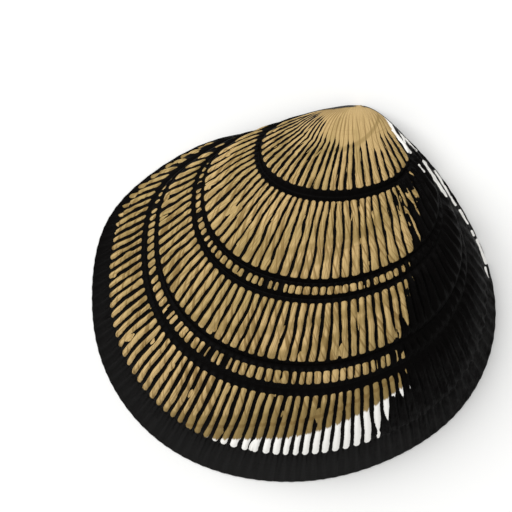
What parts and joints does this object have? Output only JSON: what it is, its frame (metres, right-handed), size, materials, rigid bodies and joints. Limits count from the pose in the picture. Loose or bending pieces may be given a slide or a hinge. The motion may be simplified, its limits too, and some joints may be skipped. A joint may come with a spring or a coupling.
{
  "type": "ribbed clam shell",
  "caption": "Single valve of a ribbed clam, domed and hollow, with fine radial ribs, raised growth lines, an off-centre beak and a toothed hinge plate; lies on its flat rim.",
  "frame": {"origin": "middle of the valve's bounding box in X and Y, on the flat rim that it rests on", "axes": "+X along the length, towards the front end of the animal; +Y towards the beak and the hinge; +Z out of the domed outside of the valve"},
  "size_m": [0.06, 0.0558, 0.0197],
  "materials": {
    "shell": "satin"
  },
  "bodies": {
    "root": {"valve": "shell"}
  },
  "joints": []
}
